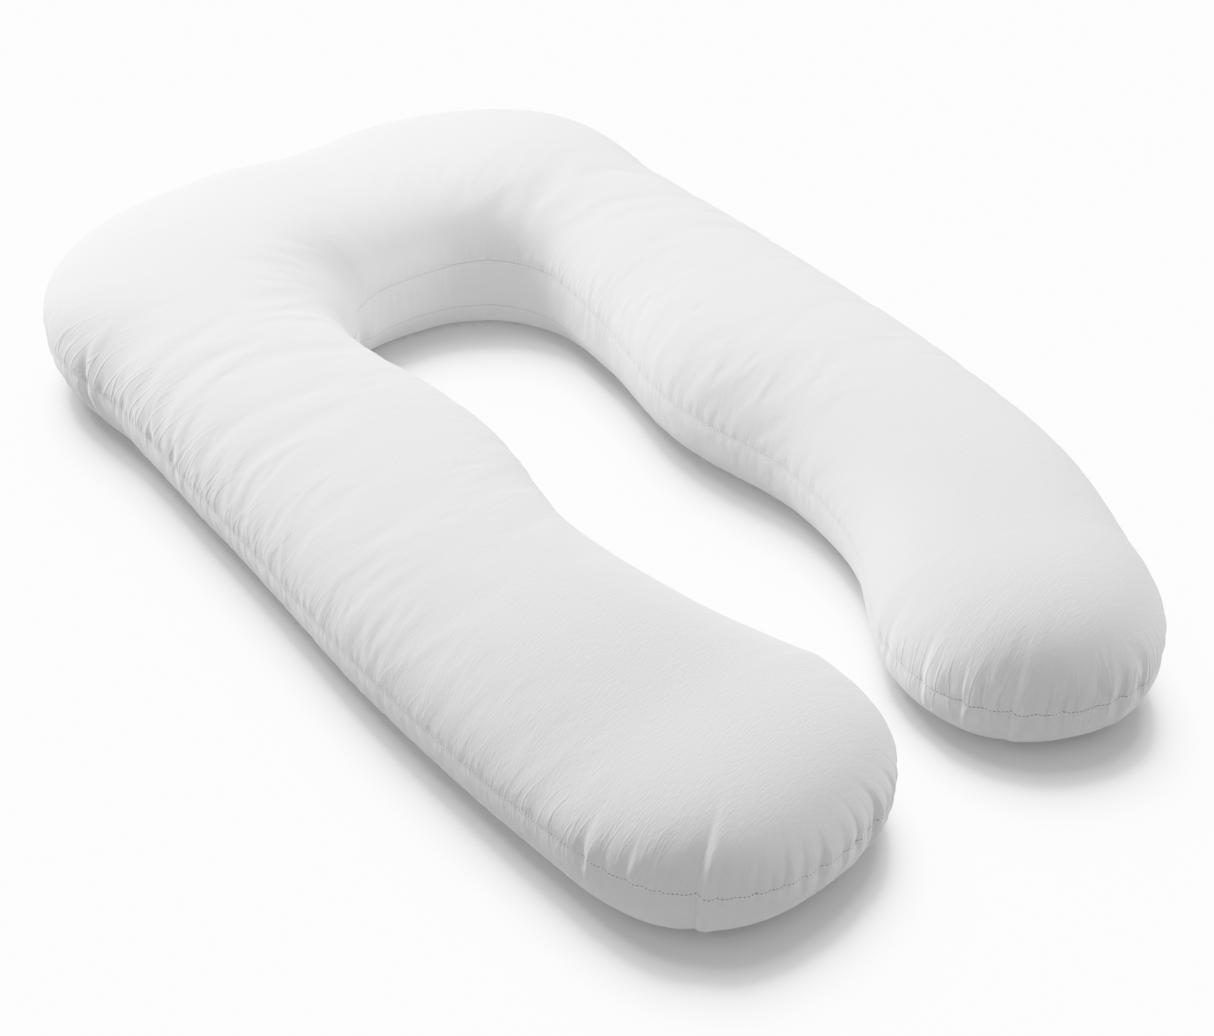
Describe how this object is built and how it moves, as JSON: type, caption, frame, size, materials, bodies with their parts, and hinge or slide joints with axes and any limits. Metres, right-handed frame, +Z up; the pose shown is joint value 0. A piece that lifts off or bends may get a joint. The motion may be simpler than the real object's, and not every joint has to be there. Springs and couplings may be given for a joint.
{
  "type": "pregnancy pillow",
  "caption": "U-shaped full-body pregnancy pillow in white cotton, filled and crowned, lying flat with the two legs side by side.",
  "frame": {"origin": "on the floor below the middle of the pillow's box", "axes": "+Z up, +Y from the leg ends to the head bend, +X to the right leg as seen from the leg ends"},
  "size_m": [0.8426, 1.3853, 0.204],
  "materials": {
    "cover": "white brushed cotton twill, matte"
  },
  "bodies": {
    "root": {"pillow": "cover"}
  },
  "joints": []
}
